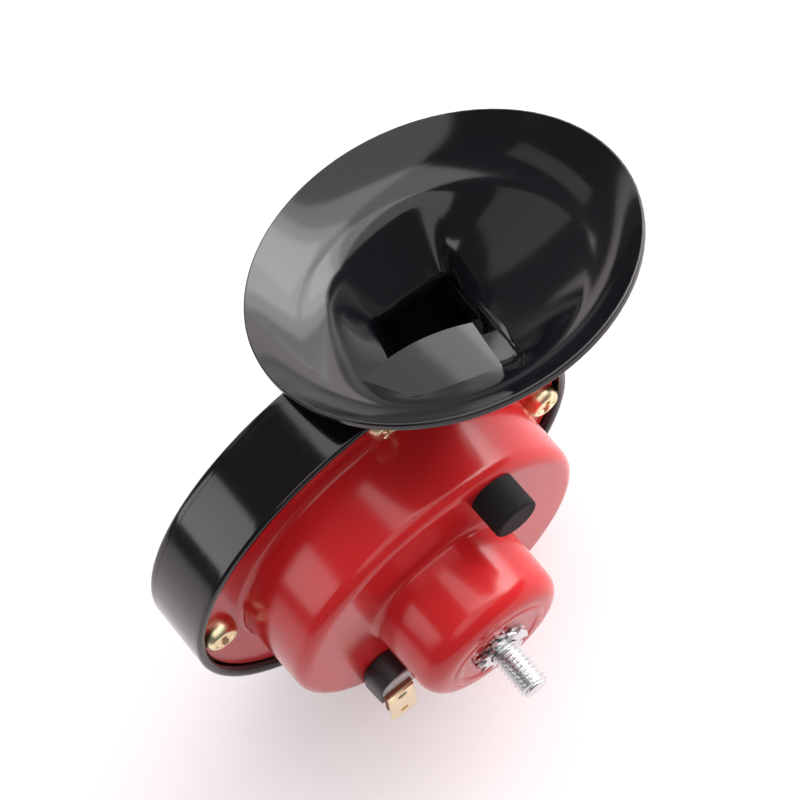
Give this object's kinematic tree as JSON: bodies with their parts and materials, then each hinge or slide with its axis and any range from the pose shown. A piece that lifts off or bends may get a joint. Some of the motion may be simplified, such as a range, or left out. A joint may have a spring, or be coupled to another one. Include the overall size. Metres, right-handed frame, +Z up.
{
  "type": "car horn",
  "caption": "Electric snail horn for a car: pressed steel drum with a mounting stud and a spade terminal, and a moulded spiral trumpet that ends in a round bell.",
  "frame": {"origin": "on the mounting stud's axis, in the plane of a bracket drawn up against the lock washers", "axes": "-Y along the stud, away from the horn; +Y towards the spiral cover; +Z up, with the bell opening upwards; +X towards the side the bell stands on, seen from the stud's end"},
  "size_m": [0.1223, 0.0953, 0.1063],
  "materials": {
    "moulding": "satin black moulded plastic, glossy inside the bell",
    "red_steel": "red coated pressed steel",
    "yellow_zinc": "yellow passivated zinc plated steel",
    "gasket_fibre": "grey gasket fibre",
    "spring_steel": "spring steel sheet",
    "zinc_steel": "bright zinc plated steel",
    "soft_iron": "turned soft iron",
    "natural_nylon": "natural nylon",
    "enamelled_copper": "enamelled copper wire",
    "brown_fibre": "brown hard fibre",
    "brass": "bright brass",
    "tungsten": "ground tungsten",
    "black_rubber": "soft black rubber",
    "black_insulator": "black moulded insulator",
    "grey_washer": "light grey insulating washer",
    "tinned_brass": "bright brass"
  },
  "bodies": {
    "root": {"trumpet_body": "moulding", "spiral_cover": "moulding", "shell": "red_steel", "flange_screws": "yellow_zinc", "rear_gasket": "gasket_fibre", "front_gasket": "gasket_fibre", "diaphragm": "spring_steel", "diaphragm_washers": "zinc_steel", "armature": "soft_iron", "pole_core": "zinc_steel", "lock_washers": "zinc_steel", "coil_bobbin": "natural_nylon", "coil_winding": "enamelled_copper", "contact_bracket": "zinc_steel", "lower_insulator": "brown_fibre", "middle_insulator": "brown_fibre", "upper_insulator": "brown_fibre", "clamp_plate": "zinc_steel", "moving_arm": "spring_steel", "fixed_arm": "spring_steel", "contact_rivets": "brass", "moving_contact": "tungsten", "fixed_contact": "tungsten", "push_pad": "brown_fibre", "tuning_bush": "brass", "tuning_screw": "zinc_steel", "rubber_cap": "black_rubber", "terminal_block": "black_insulator", "terminal_washer": "grey_washer", "fibre_strip": "brown_fibre", "spade_terminal": "tinned_brass", "terminal_rivet": "tinned_brass", "inner_washer": "brown_fibre", "inner_tag": "brass", "supply_lead": "enamelled_copper", "contact_lead": "enamelled_copper"}
  },
  "joints": []
}
